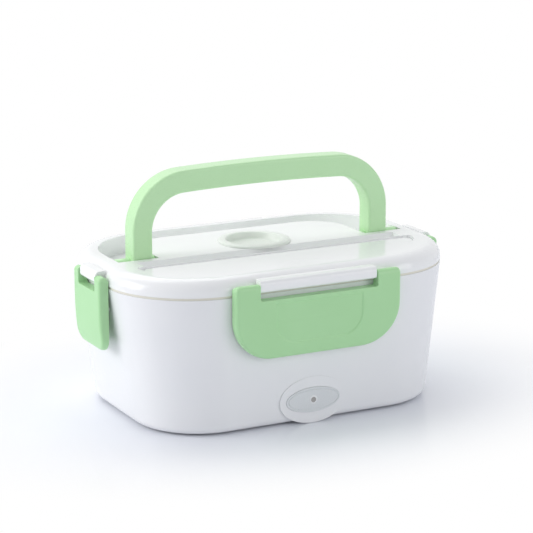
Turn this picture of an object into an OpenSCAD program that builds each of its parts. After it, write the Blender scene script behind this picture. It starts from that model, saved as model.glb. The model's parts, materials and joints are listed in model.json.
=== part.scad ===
// Electric lunch box: a heated tub, a lift-out food tray, a latched lid and a folding handle.
// X runs along the length, the front faces -Y, Z is up. The origin is on the table, under the middle.

/* [Base tub] */
// Outer length at the seam between the tub and the lid
seam_len = 235; // [230:1:240]
// Outer depth at the seam
seam_dep = 152; // [150:1:156]
// Plan corner radius at the seam
seam_r = 57; // [54:1:60]
// Outer length of the tub, carried down to table level
foot_len = 208; // [204:1:214]
// Outer depth of the tub, carried down to table level
foot_dep = 145; // [143:1:150]
// Plan corner radius carried down to table level
foot_r = 45; // [40:1:50]
// Height of the tub's rim above the table
base_h = 90; // [89:0.5:92]
// Wall of the outer shell
wall = 2.2; // [1.8:0.1:2.6]
// Radius round the tub's lower edge
edge_r = 5; // [4:0.5:6]
// Height of the feet under the shell
foot_gap = 1.2; // [1:0.1:2]

/* [Liner and heater] */
// Height of the liner floor that the tray stands over
well_z = 24; // [23:0.5:26]
// Wall of the liner
liner_wall = 1.8; // [1.4:0.1:2.2]
// Length of the heater plate's raised pad
pad_len = 100; // [90:1:104]
// Depth of the heater plate's raised pad
pad_dep = 50; // [44:1:54]
// Length, depth and height of the heating element's case
ptc_size = [62, 22, 7];

/* [Front indicator] */
// Width of the oval plate
oval_w = 39; // [36:1:44]
// Height of the oval plate
oval_h = 16.5; // [14:0.5:18]
// Height of the oval's middle above the table
oval_z = 15.6; // [15:0.2:17]
// Radius of the lamp's lens
lamp_r = 1.9; // [1.5:0.1:2.5]

/* [Mains inlet] */
// Middle of the inlet along the rear face
inlet_x = 46; // [30:1:52]
// Height of the inlet's middle above the table
inlet_z = 13.5; // [12.5:0.5:14]
// Spacing of the two inlet pins
pin_pitch = 8.6; // [8:0.1:9]

/* [Food tray] */
// Wall of the tray
tray_wall = 1.4; // [1.2:0.1:1.6]
// Thickness of the tray's rim flange
flange_t = 1.6; // [1.4:0.1:2]
// Place of the dividing wall along the length
divider_x = 28; // [20:1:36]
// Wall of the small container
cup_wall = 1.3; // [1.2:0.1:1.6]

/* [Lid] */
// Height of the lid above the seam
lid_h = 11; // [10.5:0.5:12]
// Radius round the lid's top edge
lid_edge = 9.5; // [8:0.5:10]
// Thickness of the lid's skin
skin = 2.2; // [1.8:0.1:2.4]
// Radius of the steam vent's flange
vent_r = 24.5; // [23:0.5:26]
// Place of the steam vent's middle behind the lid's middle
vent_y = 9; // [8:0.5:11]

/* [Handle] */
// Height of the handle's top above its pivots
handle_rise = 60.5; // [56:0.5:61]
// Half the handle's outer width
handle_half = 93.5; // [92:0.5:94]
// Width of a handle leg seen from the front
leg_w = 13.8; // [12:0.1:15]
// Thickness of the handle from front to back
handle_t = 14.2; // [13:0.1:14.4]
// Outer radius of the handle's top corners
handle_r = 38; // [34:1:40]
// Rounding of the handle's long edges
handle_edge = 1.8; // [1:0.2:2.4]

/* [Latches] */
// Width of the front and back latches
latch_w = 118; // [114:1:120]
// Width of the side latches
side_w = 42; // [38:1:44]
// Height of a latch from its hinge axis to its lower end
latch_drop = 46.3; // [44:0.5:48]
// Width of each ear of the front and back latches
ear_w = 17; // [15:0.5:18]
// Width of each ear of the side latches
side_ear_w = 8; // [7:0.5:9]
// Rounding of a latch's outer edges
latch_edge = 2.2; // [1:0.2:2.6]
// Depth of the shallow panel in the front latch
panel_dip = 0.4; // [0.2:0.1:0.6]

/* [Hidden] */
$fn = 48;

white = "#F1F2F3";
mint = "#A8DDA0";
cream = "#ECE9DC";
metal = "#B9BDC1";

eps = 0.01;
fit = 0.3;          // gap between pieces that are put together by hand
run = 0.06;         // radial play of a pivot in its bore
arc_n = 14;         // points on each rounded plan corner
over = 1;           // how far a cut runs past the face it opens
seam_z = base_h + flange_t;
lid_top = seam_z + lid_h;

// Tub and liner
ledge = 1.6;         // depth of the step that the liner's flange lies on
ledge_z = base_h - ledge;
liner_bottom = well_z - 2;
liner_low_in = 9.5;  // inset of the liner's outer face at its floor
liner_in = 6.2;      // inset of the liner's inner face at the rim
cover_t = 1.6;
cover_top = foot_gap + cover_t;
inner_low = 4.4;     // lowest level of the shell's hollow
boss_x = 78;
boss_y = 38;
foot_x = 66;
foot_y = 48;
foot_pad = 6.5;
screw_r = 1.25;
head_r = 2.9;

// Tray
tray_in = 8.3;       // inset of the tray's outer face at the rim
tray_low_in = 12.2;  // inset of the tray's outer face above its rounded foot
tray_floor = well_z + 0.4;
cup_top = base_h - 8;
divider_top = base_h - 6;

// Heater
plate_t = 1.5;
plate_z = liner_bottom - plate_t;
clamp_x = 62;
clamp_z = plate_z - ptc_size[2];
clamp_t = 1;
ptc_dip = 1.5;       // depth of the hollow that the heater's terminals are in
thermo_x = 40;
thermo_y = 20;
fuse_x = -42;
fuse_y = 19;

// Indicator and inlet
pad_out = 0.9;       // how far the pad round the indicator stands out
board_y = 10.5 - foot_dep / 2;
board_t = 1.4;
inlet_half_w = 12;
inlet_half_h = 6.5;
socket_depth = 14;
pin_back = 18;       // how far behind the rear face the inlet's pins end

// Lid
pivot_y = 2;
pivot_z = lid_top - 4.1;
barrel_r = 4.2;
stub_r = 2.5;
trough_in = 12.7;    // inset of the handle trough's outer wall
trough_hx = seam_len / 2 - trough_in - 0.5;
trough_hy = seam_dep / 2 - trough_in;
trough_front = -6;
trough_floor = pivot_z - handle_t / 2 - 0.8;
trough_skin = 1.6;
island_half = 76;
island_rear = 45.5;
island_r = 26;
cover_z = lid_top - 0.8;     // top of the spoon cover
cover_sheet = 1.8;
hinge_r = 2.2;       // rounded rear edge of the spoon cover
pin_r = 1.2;
bay_y = -24;         // rear edge of the spoon bay
bay_a = seam_len / 2 - 17.5;  // half length of the spoon bay
bay_b = seam_dep / 2 - 33;    // depth of the spoon bay
bay_end = 8;         // rounding at the ends of the bay's straight edge
bay_depth = 8.6;
bay_floor = cover_z - bay_depth;
bay_skin = 1.6;
hinge_h = cover_z - hinge_r;
hinge_y = bay_y - hinge_r;
groove_y = -17.5;    // concave groove behind the spoon cover
groove_r = 7;
groove_up = 3.4;     // groove's axis above the lid's top
bore_r = 20.3;       // bore of the steam vent
vent_floor = seam_z + 1.6;
vent_hole = 6;
liner_flange = seam_z + 1.8;  // underside of the inner lid's flange
liner_sheet = 1.4;
inner_in = 10.9;     // inset of the inner lid's plug, inside the tray

// Latch section, measured outwards from the hinge axis
axis_out = 3.9;      // hinge axis in front of the seam's outer face
axis_z = seam_z + 3.2;
ear_r = 3.1;
panel_back = -3.5;   // a latch's inner edges, just clear of the seam
latch_pin = 1.5;
latch_wall = 2.2;
panel_top = 7.4;     // panel's upper edge below the hinge axis
catch_z = 21;        // top of the catch below the hinge axis
catch_out = -3.7;
catch_h = 3.4;
rib_out = -2.9;      // face of the rib on the tub that the catch hooks under
rib_h = 1.8;
low_r = 27;          // lower corners of the front and back latches
side_low_r = 9;      // lower corners of the side latches

function mix(a, b, t) = a + (b - a) * t;
function level(z) = min(max(z, 0), base_h) / base_h;
function half_x(z) = mix(foot_len, seam_len, level(z)) / 2;
function half_y(z) = mix(foot_dep, seam_dep, level(z)) / 2;
function corner(z) = mix(foot_r, seam_r, level(z));

// Points of an arc about [x, y], from angle a to angle b
function arc(x, y, r, a, b, n) = [for (i = [0:n]) let (t = mix(a, b, i / n)) [x + r * cos(t), y + r * sin(t)]];

// Points of a rounded rectangle, counter-clockwise, n points on each corner
function rounded(hx, hy, r, n = arc_n) = [for (c = [0:3])
    let (sx = (c == 0 || c == 3) ? 1 : -1, sy = c < 2 ? 1 : -1)
    each arc(sx * (hx - r), sy * (hy - r), r, 90 * c, 90 * c + 90, n - 1)];

// The tub's outline at height z, drawn inwards by an inset
function outline(z, inset) =
    rounded(half_x(z) - inset, half_y(z) - inset, max(corner(z) - inset, 3));
function ellipse_points(a, b, n = 48) = [for (i = [0:n - 1]) [a * cos(360 * i / n), b * sin(360 * i / n)]];

// A closed solid through a row of rings of points; each ring turns counter-clockwise about the way ahead
module skin_over(rings) {
    n = len(rings[0]);
    m = len(rings);
    sides = [for (k = [0:m - 2]) for (i = [0:n - 1])
        let (a = k * n + i, b = k * n + (i + 1) % n)
        each [[a, a + n, b], [b, a + n, b + n]]];
    first = [[for (i = [0:n - 1]) i]];
    last = [[for (i = [n - 1:-1:0]) (m - 1) * n + i]];
    polyhedron(points = [for (r = rings) each r], faces = concat(sides, first, last), convexity = 6);
}

// The same through flat outlines, each [height, points]
module loft(rings) {
    skin_over([for (r = rings) [for (p = r[1]) [p[0], p[1], r[0]]]]);
}

// A solid that follows the tub's taper; each stop is [height, inset]
module tub(stops) {
    loft([for (s = stops) [s[0], outline(s[0], s[1])]]);
}

module slab(points, z0, z1) {
    translate([0, 0, z0])
        linear_extrude(z1 - z0)
            polygon(points);
}

module rod_x(r, x0, x1, y, z) {
    translate([x0, y, z])
        rotate([0, 90, 0])
            cylinder(r = r, h = x1 - x0);
}

module rod_y(r, y0, y1, x, z) {
    translate([x, y0, z])
        rotate([-90, 0, 0])
            cylinder(r = r, h = y1 - y0);
}

module post(r, z0, z1) {
    translate([0, 0, z0])
        cylinder(r = r, h = z1 - z0);
}

module box(x0, x1, y0, y1, z0, z1) {
    translate([x0, y0, z0])
        cube([x1 - x0, y1 - y0, z1 - z0]);
}

// An extrusion along X whose outline is drawn with Y outwards and Z up
module extrude_x(half) {
    translate([-half, 0, 0])
        rotate([90, 0, 90])
            linear_extrude(2 * half)
                children();
}

// Runs its children on the left and the right, mirrored
module both_ends() {
    children();
    mirror([1, 0, 0])
        children();
}

// Runs its children at the four places (+-x, +-y)
module four(x, y) {
    for (sx = [-1, 1])
        for (sy = [-1, 1])
            translate([sx * x, sy * y, 0])
                children();
}

// ---------------------------------------------------------------- base
// An oval standing on the front wall, from a depth behind its face to a height in front of it
module front_oval(a, b, out, depth) {
    translate([0, -half_y(oval_z) - pad_out - out, oval_z])
        rotate([-90, 0, 0])
            linear_extrude(out + depth)
                polygon(ellipse_points(a, b));
}

// The rib on the tub that a latch hooks under
module latch_rib(out, half) {
    top = axis_z - catch_z + 1 + rib_h;
    box(-half, half, -out - axis_out - rib_out, -out + 6, top - rib_h, top);
}

module shell_ribs() {
    both_sides()
        latch_rib(seam_dep / 2, latch_w / 2 - 9.5);
    rotate([0, 0, 90])
        both_sides()
            latch_rib(seam_len / 2, side_w / 2 - 5);
}

// Runs its children on the front and, turned half round, on the back
module both_sides() {
    children();
    rotate([0, 0, 180])
        children();
}

module outer_shell() {
    step_z = base_h - 6;
    color(white)
    difference() {
        union() {
            tub(concat([for (i = [0:6]) let (a = 15 * i)
                [foot_gap + edge_r * (1 - cos(a)), edge_r * (1 - sin(a))]], [[base_h, 0]]));
            front_oval(oval_w / 2 + 4.5, oval_z - 0.2, 0, 5);
            shell_ribs();
        }
        tub([[inner_low, wall], [step_z, wall]]);
        tub([[step_z - 0.1, wall + 1.6], [base_h + over, wall + 1.6]]);
        tub([[ledge_z, 2], [base_h + over, 2]]);
        tub([[foot_gap - over, edge_r + 3], [inner_low + 0.6, edge_r + 3]]);
        tub([[foot_gap - over, edge_r], [cover_top, edge_r]]);
        front_oval(oval_w / 2 + 0.1, oval_h / 2 + 0.1, over, 1.6);
        rod_y(3.2, -half_y(oval_z) - pad_out - over, 8 - half_y(oval_z), 0, oval_z);
        box(inlet_x - inlet_half_w, inlet_x + inlet_half_w, half_y(inlet_z) - 6, half_y(inlet_z) + 4,
            inlet_z - inlet_half_h, inlet_z + inlet_half_h);
    }
}

module inner_liner() {
    color(white)
    difference() {
        union() {
            tub([[liner_bottom, liner_low_in], [ledge_z + eps, 4.4]]);
            tub([[ledge_z, 2.3], [base_h, 2.3]]);
            four(boss_x, boss_y)
                post(4, cover_top, liner_bottom + over);
            both_ends()
                translate([clamp_x, 0, 0])
                    post(3.5, clamp_z, liner_bottom + over);
        }
        tub([[well_z, liner_low_in + liner_wall], [base_h + over, liner_in]]);
        slab(rounded(pad_len / 2 + 0.2, pad_dep / 2 + 0.2, 6), liner_bottom - over, well_z + over);
        four(boss_x, boss_y)
            post(screw_r, cover_top - over, cover_top + 12);
        both_ends()
            translate([clamp_x, 0, 0])
                post(screw_r, clamp_z - over, clamp_z + 7);
    }
}

module bottom_cover() {
    color(white)
    difference() {
        tub([[foot_gap, edge_r + 0.25], [cover_top, edge_r + 0.25]]);
        four(boss_x, boss_y) {
            post(screw_r + 0.35, foot_gap - over, cover_top + over);
            post(head_r + 0.2, foot_gap - over, foot_gap + 0.7);
        }
        four(foot_x, foot_y)
            post(foot_pad + 0.1, foot_gap - over, foot_gap + 0.8);
    }
}

module feet() {
    color("#C9CBCD")
        four(foot_x, foot_y)
            difference() {
                post(foot_pad, 0, foot_gap + 0.8);
                post(3, -over, 0.6);
            }
}

module screw(shank) {
    head_h = 1.5;
    difference() {
        union() {
            post(head_r, 0, head_h);
            post(screw_r, 0, head_h + shank);
        }
        for (a = [0, 90])
            rotate([0, 0, a])
                box(-head_r * 0.6, head_r * 0.6, -0.35, 0.35, -over, head_h * 0.5);
    }
}

module cover_screws() {
    color(metal)
        four(boss_x, boss_y)
            translate([0, 0, foot_gap - 0.8])
                screw(10);
}

// ---------------------------------------------------------------- heater
module heater_plate() {
    color("#C8CCD0")
        union() {
            slab(rounded(pad_len / 2, pad_dep / 2, 6), plate_z, well_z);
            slab(rounded(pad_len / 2 + 5, pad_dep / 2 + 5, 8), plate_z, liner_bottom);
        }
}

module ptc_heater() {
    half = ptc_size[0] / 2;
    color("#A9ADB1")
    difference() {
        box(-half, half, -ptc_size[1] / 2, ptc_size[1] / 2, clamp_z, plate_z);
        both_ends()
            box(half - ptc_dip, half + over, -8, 8, clamp_z + 2, plate_z - 2);
    }
}

module heater_clamp() {
    color(metal)
    difference() {
        union() {
            box(-clamp_x - 5, clamp_x + 5, -6, 6, clamp_z - clamp_t, clamp_z);
            for (s = [-1, 1])
                box(-20, 20, s * 5.5 - 0.5, s * 5.5 + 0.5, clamp_z - clamp_t - 2, clamp_z - eps);
        }
        both_ends()
            translate([clamp_x, 0, 0])
                post(screw_r + 0.35, clamp_z - 3, clamp_z + over);
    }
}

module clamp_screws() {
    color(metal)
        both_ends()
            translate([clamp_x, 0, clamp_z - clamp_t - 1.5])
                screw(7);
}

module thermostat() {
    color("#3C4046")
        translate([thermo_x, thermo_y, plate_z - 10])
            union() {
                post(8, 6, 10);
                post(6.5, 0, 6 + eps);
                both_ends()
                    box(3.1, 3.9, -2.5, 2.5, -5, eps);
            }
}

module thermal_fuse() {
    fuse_z = plate_z - 2;
    color("#D8CFB4")
        union() {
            rod_x(2, fuse_x - 6, fuse_x + 6, fuse_y, fuse_z);
            rod_x(0.5, fuse_x - 12, fuse_x + 12, fuse_y, fuse_z);
            box(fuse_x - 3, fuse_x + 3, fuse_y - 2.6, fuse_y + 2.6, fuse_z + 0.8, plate_z);
        }
}

// A wire laid as straight runs through a list of points
module wire(points) {
    wire_r = 1.1;
    for (i = [0:len(points) - 2]) {
        d = points[i + 1] - points[i];
        translate(points[i])
            rotate([0, acos(d[2] / norm(d)), atan2(d[1], d[0])])
                post(wire_r, -wire_r * 0.6, norm(d) + wire_r * 0.6, $fn = 8);
    }
}

// Wires in two colours, each ending on the face of what it is joined to
module wires() {
    tip = 0.66;          // a run's round end reaches this far past its last point
    pin_y = half_y(inlet_z) - pin_back - tip;
    pin = pin_pitch / 2;
    ptc = ptc_size[0] / 2 - ptc_dip + tip;
    tab_y = thermo_y + 2.5 + tip;
    low = plate_z - 13.5;
    turn = 36;
    mid = clamp_z + ptc_size[2] / 2;
    back = board_y + board_t + tip;
    difference() {
        union() {
            color("#3E6FA8") {
                wire([[inlet_x + pin, pin_y, inlet_z], [inlet_x + pin, 49, inlet_z], [60, 34, low],
                    [thermo_x + 3.5, thermo_y + 9, low], [thermo_x + 3.5, tab_y, low]]);
                wire([[thermo_x - 3.5, 2 * thermo_y - tab_y, low], [thermo_x - 3.5, 11, low],
                    [turn, 9, mid], [turn, 3, mid], [ptc, 3, mid]]);
                wire([[-ptc, -3, mid], [-turn, -3, mid], [-turn, -9, mid], [-turn, -24, low],
                    [-16, -48, low + 2], [-10, back + 6, oval_z - 4], [-10, back, oval_z - 4]]);
            }
            color("#8A5A3A") {
                wire([[inlet_x - pin, pin_y, inlet_z], [inlet_x - pin, 49, inlet_z], [34, 40, low + 1],
                    [-20, 41, low], [fuse_x + 14, 28, 10], [fuse_x + 12, fuse_y, plate_z - 2]]);
                wire([[fuse_x - 12, fuse_y, plate_z - 2], [fuse_x - 12, 9, mid], [-turn, 3, mid],
                    [-ptc, 3, mid]]);
                wire([[ptc, -3, mid], [turn, -3, mid], [turn, -9, mid], [turn, -24, low],
                    [16, -48, low + 2], [10, back + 6, oval_z - 4], [10, back, oval_z - 4]]);
            }
        }
        thermal_fuse();
    }
}

// ---------------------------------------------------------------- inlet and indicator
// The space that a cord connector is pushed into: two round ends joined by a flat middle
module connector_space(y0, y1) {
    half = 3.6;
    for (s = [-1, 1])
        rod_y(4.3, y0, y1, inlet_x + s * half, inlet_z);
    box(inlet_x - half, inlet_x + half, y0, y1, inlet_z - 3.4, inlet_z + 3.4);
}

module pin_pair(y0, y1) {
    for (s = [-1, 1])
        rod_y(1.2, y0, y1, inlet_x + s * pin_pitch / 2, inlet_z);
}

module inlet_socket() {
    y = half_y(inlet_z);
    flange = 1.2;
    face = y + 0.4 + flange;
    color("#E6E7E8")
    difference() {
        union() {
            box(inlet_x - inlet_half_w + 0.2, inlet_x + inlet_half_w - 0.2, y - 16, face - flange,
                inlet_z - inlet_half_h + 0.2, inlet_z + inlet_half_h - 0.2);
            box(inlet_x - inlet_half_w - 2, inlet_x + inlet_half_w + 2, face - flange, face,
                inlet_z - inlet_half_h - 1.2, inlet_z + inlet_half_h + 1.2);
        }
        connector_space(face - socket_depth, face + over);
        pin_pair(y - pin_back, y - 10);
    }
}

module inlet_pins() {
    color("#D3B56A")
        pin_pair(half_y(inlet_z) - pin_back, half_y(inlet_z) - 2);
}

module indicator_plate() {
    line_in = 1.2;
    color("#E9EAEB")
    difference() {
        front_oval(oval_w / 2, oval_h / 2, 0.4, 1.6);
        difference() {
            front_oval(oval_w / 2 - line_in, oval_h / 2 - line_in, over, 0);
            front_oval(oval_w / 2 - line_in - 0.6, oval_h / 2 - line_in - 0.6, 2 * over, over);
        }
        rod_y(lamp_r + 0.05, -half_y(oval_z) - 3, 3 - half_y(oval_z), 0, oval_z);
    }
}

module indicator_lamp() {
    y = -half_y(oval_z) - pad_out;
    color("#9C8F84")
        union() {
            rod_y(lamp_r, y - 0.6, board_y, 0, oval_z);
            rod_y(lamp_r + 0.6, y + 3, board_y, 0, oval_z);
        }
}

module lamp_board() {
    color("#4F8A5B")
        union() {
            box(-12, 12, board_y, board_y + board_t, oval_z - 6, oval_z + 6);
            both_ends()
                rod_x(1.1, 5.4, 10.6, board_y + board_t + 1, oval_z);
        }
}

// ---------------------------------------------------------------- tray
// The tray's hollow, or what stands in it, drawn inwards by a gap
module tray_space(gap, z0, z1) {
    tub([[z0, tray_low_in + tray_wall + gap], [z1, tray_in + tray_wall + gap]]);
}

module food_tray() {
    color(cream)
    union() {
        difference() {
            union() {
                tub([[tray_floor, tray_low_in + 3], [tray_floor + 1, tray_low_in + 1],
                    [tray_floor + 3, tray_low_in], [base_h + eps, tray_in]]);
                tub([[base_h, 0.6], [seam_z, 0.6]]);
            }
            tray_space(0, tray_floor + tray_wall, seam_z + over);
        }
        intersection() {
            box(divider_x, divider_x + tray_wall, -seam_dep / 2, seam_dep / 2, tray_floor + 0.5, divider_top);
            tub([[tray_floor, tray_low_in + 1], [seam_z, tray_in + 1]]);
        }
    }
}

module side_container() {
    x0 = divider_x + tray_wall + 0.5;
    floor_z = tray_floor + tray_wall;
    gap = 1.6;
    color("#F3F4F0")
    difference() {
        intersection() {
            tray_space(gap, floor_z, cup_top);
            box(x0, seam_len / 2, -seam_dep / 2, seam_dep / 2, 0, seam_z);
        }
        intersection() {
            tray_space(gap + cup_wall, floor_z + cup_wall, cup_top + over);
            box(x0 + cup_wall, seam_len / 2, -seam_dep / 2, seam_dep / 2, 0, seam_z);
        }
    }
}

// ---------------------------------------------------------------- lid
// The half-oval outline of the spoon bay, drawn inwards by an inset, its straight edge by another
module bay_outline(inset, rear) {
    intersection() {
        translate([0, bay_y])
            polygon([for (t = [180:5:360]) [(bay_a - inset) * cos(t), (bay_b - inset) * sin(t)]]);
        translate([0, bay_y - rear - 40])
            polygon(rounded(bay_a - inset, 40, bay_end));
    }
}

module bay(inset, rear, z0, z1) {
    translate([0, 0, z0])
        linear_extrude(z1 - z0)
            bay_outline(inset, rear);
}

// The U-shaped trough that the handle folds into, round the flat island in the middle of the lid
module trough(grow, z0, z1) {
    translate([0, 0, z0])
        linear_extrude(z1 - z0)
            difference() {
                intersection() {
                    polygon(rounded(trough_hx + grow, trough_hy + grow, seam_r - trough_in + grow));
                    translate([-seam_len / 2, trough_front - grow])
                        square([seam_len, seam_dep / 2]);
                }
                polygon(rounded(island_half - grow, island_rear - grow, island_r - grow));
            }
}

// The bar on the lid that a latch hangs from, in the latch's own frame
module knuckle(width, ear) {
    root = axis_out + 1.2;
    extrude_x(width / 2 - ear - 0.5)
        polygon([[root, -2.8], [0.2, -2.8], [-0.8, -2.5], [-1.5, -1.8], [-1.9, -0.8], [-1.9, 2.4],
            [-1.6, 3.5], [-0.8, 4.6], [0.4, 5.2], [root, 5.4]]);
}

// Runs the first child at the front and back hinges, and the second at the side hinges
module latch_places() {
    both_sides()
        translate([0, -seam_dep / 2 - axis_out, axis_z])
            children(0);
    rotate([0, 0, 90])
        both_sides()
            translate([0, -seam_len / 2 - axis_out, axis_z])
                children(1);
}

module pin_bores(width, ear) {
    both_ends()
        rod_x(latch_pin + run, width / 2 - ear - 11, width / 2 - ear + 0.5, 0, 0);
}

// Blocks that carry the pivots of the handle and of the spoon cover, on the right
module pivot_blocks() {
    box(trough_hx - 0.1, trough_hx + 5.5, pivot_y - 4.5, pivot_y + 4.5, pivot_z - 3.5, lid_top - 1);
    box(island_half - 5.1, island_half + 0.1, pivot_y - 4.5, pivot_y + 4.5, pivot_z - 6.5, lid_top - 1);
    box(bay_a - 5, bay_a + 3, bay_y - 6, bay_y, hinge_h - 4.6, lid_top - 1);
}

module lid_shell() {
    cavity_in = skin + 0.4;
    color(white)
    difference() {
        union() {
            difference() {
                tub(concat([[seam_z, 0]], [for (i = [0:6]) let (a = 15 * i)
                    [lid_top - lid_edge * (1 - sin(a)), lid_edge * (1 - cos(a))]]));
                tub([[seam_z - over, cavity_in], [lid_top - 6, cavity_in], [lid_top - skin, skin + 6]]);
            }
            trough(trough_skin - 0.5, trough_floor - trough_skin, lid_top - 0.5);
            bay(-bay_skin, -bay_skin, bay_floor - bay_skin, lid_top - 0.5);
            box(4 - bay_a, bay_a - 4, bay_y - 4, -8, lid_top - 7.6, lid_top - 1);
            translate([0, vent_y, 0])
                post(bore_r + 1.8, vent_floor - 1.6, lid_top - 0.4);
            both_ends()
                pivot_blocks();
            latch_places() {
                knuckle(latch_w, ear_w);
                knuckle(side_w, side_ear_w);
            }
        }
        trough(0, trough_floor, lid_top + over);
        lid_cuts();
    }
}

module lid_cuts() {
    rod_x(groove_r, 6 - bay_a, bay_a - 6, groove_y, lid_top + groove_up);
    // seat of the spoon cover, the bay below it and the slot for its rolled edge
    bay(-fit, -3, cover_z - cover_sheet, lid_top + over);
    bay(2.5, 5, bay_floor, lid_top + over);
    box(5 - bay_a, bay_a - 5, bay_y - 7, bay_y + fit, hinge_h - hinge_r - 0.6, lid_top + over);
    rod_x(pin_r + run, -bay_a - 1.5, bay_a + 1.5, hinge_y, hinge_h);
    // steam vent
    translate([0, vent_y, 0]) {
        post(bore_r, vent_floor, lid_top + over);
        post(vent_hole, vent_floor - 5, lid_top);
    }
    rod_x(stub_r + run, -trough_hx - 4.3, trough_hx + 4.3, pivot_y, pivot_z);
    latch_places() {
        pin_bores(latch_w, ear_w);
        pin_bores(side_w, side_ear_w);
    }
}

module inner_lid() {
    low = trough_floor - trough_skin - liner_sheet;
    top = liner_flange + liner_sheet;
    color("#E4E6E8")
    difference() {
        union() {
            tub([[low, inner_in + 1], [low + 1, inner_in], [top, inner_in]]);
            tub([[liner_flange, skin + 0.4], [top, skin + 0.4]]);
        }
        tub([[low + liner_sheet, inner_in + liner_sheet], [top + over, inner_in + liner_sheet]]);
        trough(trough_skin - 0.2, low + liner_sheet, top + over);
        bay(-bay_skin - fit, -bay_skin - fit, bay_floor - bay_skin - fit, top + over);
        translate([0, vent_y, 0])
            post(vent_hole + 2, low - over, top + over);
    }
}

module lid_seal() {
    color("#DAD6C6")
    difference() {
        tub([[seam_z, 3.1], [liner_flange, 3.1]]);
        tub([[seam_z - over, 7.1], [liner_flange + over, 7.1]]);
    }
}

module vent_plug() {
    stem = vent_hole - 0.4;
    cup = bore_r - 0.3;
    color("#EEF0F0")
    translate([0, vent_y, 0])
        rotate_extrude()
            polygon([[0, seam_z - 1.1], [stem, seam_z - 1.1], [stem, vent_floor + 1.8],
                [cup, vent_floor + 1.8], [cup, lid_top], [vent_r - 0.6, lid_top],
                [vent_r, lid_top + 0.5], [vent_r - 0.4, lid_top + 1], [vent_r - 1.6, lid_top + 1.4],
                [cup + 0.5, lid_top + 1.8], [cup - 0.6, lid_top + 1.7], [cup - 1.4, lid_top + 1.2],
                [cup - 1.8, lid_top + 0.4], [cup - 2.4, lid_top - 2.4], [cup - 3.4, lid_top - 2.8],
                [0, lid_top - 2.8]]);
}

module spoon() {
    bowl_x = 38;
    bowl_y = -44.5;
    stem_z = 2.2;
    color("#F4F5F5")
    translate([0, bowl_y, bay_floor])
        union() {
            difference() {
                loft([for (s = [[0, 10, 5], [1, 15.5, 8.6], [2.6, 19.6, 11.2], [4.6, 22, 13]])
                    [s[0], [for (p = ellipse_points(s[1], s[2], 32)) p + [bowl_x, 0]]]]);
                loft([for (s = [[1.2, 8.4, 4], [2.2, 14, 7.4], [3.4, 17.8, 9.8], [4.7, 20.4, 11.6]])
                    [s[0], [for (p = ellipse_points(s[1], s[2], 32)) p + [bowl_x, 0]]]]);
            }
            slab([[-66, -4], [-62, -5.2], [-20, -4], [8, -3.5], [bowl_x - 19, -6], [bowl_x - 19, 6],
                [8, 3.5], [-20, 4], [-62, 5.2], [-66, 4]], stem_z, stem_z + 2.2);
        }
}

module spoon_cover() {
    scoop_r = 80;
    color("#F5F6F7")
    difference() {
        union() {
            bay(0, hinge_r, cover_z - cover_sheet, cover_z);
            rod_x(hinge_r - 0.02, 10 - bay_a, bay_a - 10, hinge_y, hinge_h);
            rod_x(pin_r, -bay_a - 1, bay_a + 1, hinge_y, hinge_h);
        }
        // thumb scoop at the front edge
        translate([0, bay_y - 24, cover_z + scoop_r])
            rotate([90 - 5.4, 0, 0])
                translate([0, 0, -5])
                    cylinder(r = scoop_r, h = 40, $fn = 180);
    }
}

// ---------------------------------------------------------------- handle
// An arch seen from the front, standing on a level, with a slightly bowed top
function arch(half, low, top, r) = let (flat = half - r, bow = 1.2, n = 12) concat(
    [[half, low]],
    arc(flat, top - bow - r, r, 0, 90, n),
    [for (i = [4:-1:-4]) [flat * i / 5, top - bow * (i / 5) * (i / 5)]],
    arc(-flat, top - bow - r, r, 90, 180, n),
    [[-half, low]]);

function reversed(points) = [for (i = [len(points) - 1:-1:0]) points[i]];

// The handle's section between an outer and an inner point of its arch, with rounded edges
function handle_section(outer, inner, half, edge) =
    let (d = (outer - inner) / norm(outer - inner), mid = (outer + inner) / 2)
    [for (p = rounded(norm(outer - inner) / 2, half, edge, 4)) [mid[0] + d[0] * p[0], p[1], mid[1] + d[1] * p[0]]];

// Sections of the round foot under a leg, from the lowest up; s is 1 on the right and -1 on the left
function handle_foot(s) = [for (a = [78:-13:13])
    let (z = pivot_z - handle_t / 2 * sin(a), half = handle_t / 2 * cos(a))
    handle_section([s * handle_half, z], [s * (handle_half - leg_w), z], half, min(handle_edge, half * 0.8))];

module handle() {
    top = pivot_z + handle_rise;
    outer = arch(handle_half, pivot_z, top, handle_r);
    inner = arch(handle_half - leg_w, pivot_z, top - leg_w - 1, handle_r - leg_w);
    color(mint)
        union() {
            translate([0, pivot_y, 0])
                skin_over(concat(handle_foot(1),
                    [for (i = [0:len(outer) - 1]) handle_section(outer[i], inner[i], handle_t / 2, handle_edge)],
                    reversed(handle_foot(-1))));
            both_ends() {
                rod_x(barrel_r, island_half + fit, trough_hx - 0.4, pivot_y, pivot_z);
                rod_x(stub_r, island_half - 3, trough_hx + 3.7, pivot_y, pivot_z);
            }
        }
}

// ---------------------------------------------------------------- latches
// Outer face of a latch at a depth below its hinge axis: it curls in at its lower end
function face_out(d, curl) = ear_r - curl * pow(d / latch_drop, 4)
    - (d > latch_drop - latch_edge
        ? latch_edge - sqrt(pow(latch_edge, 2) - pow(min(d - latch_drop + latch_edge, latch_edge), 2))
        : 0);

// Side section of a latch's panel between two depths behind its outer face
module face_band(curl, from, to) {
    levels = concat([for (i = [0:8]) mix(3, latch_drop - latch_edge, i / 8)],
        [for (a = [20:20:80]) latch_drop - latch_edge * (1 - sin(a))], [latch_drop]);
    polygon(concat([for (d = levels) [from - face_out(d, curl), -d]],
        [for (d = reversed(levels)) [to == undef ? -panel_back : to - face_out(d, curl), -d]]));
}

module front_view() {
    translate([0, 20, 0])
        rotate([90, 0, 0])
            linear_extrude(40)
                children();
}

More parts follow.
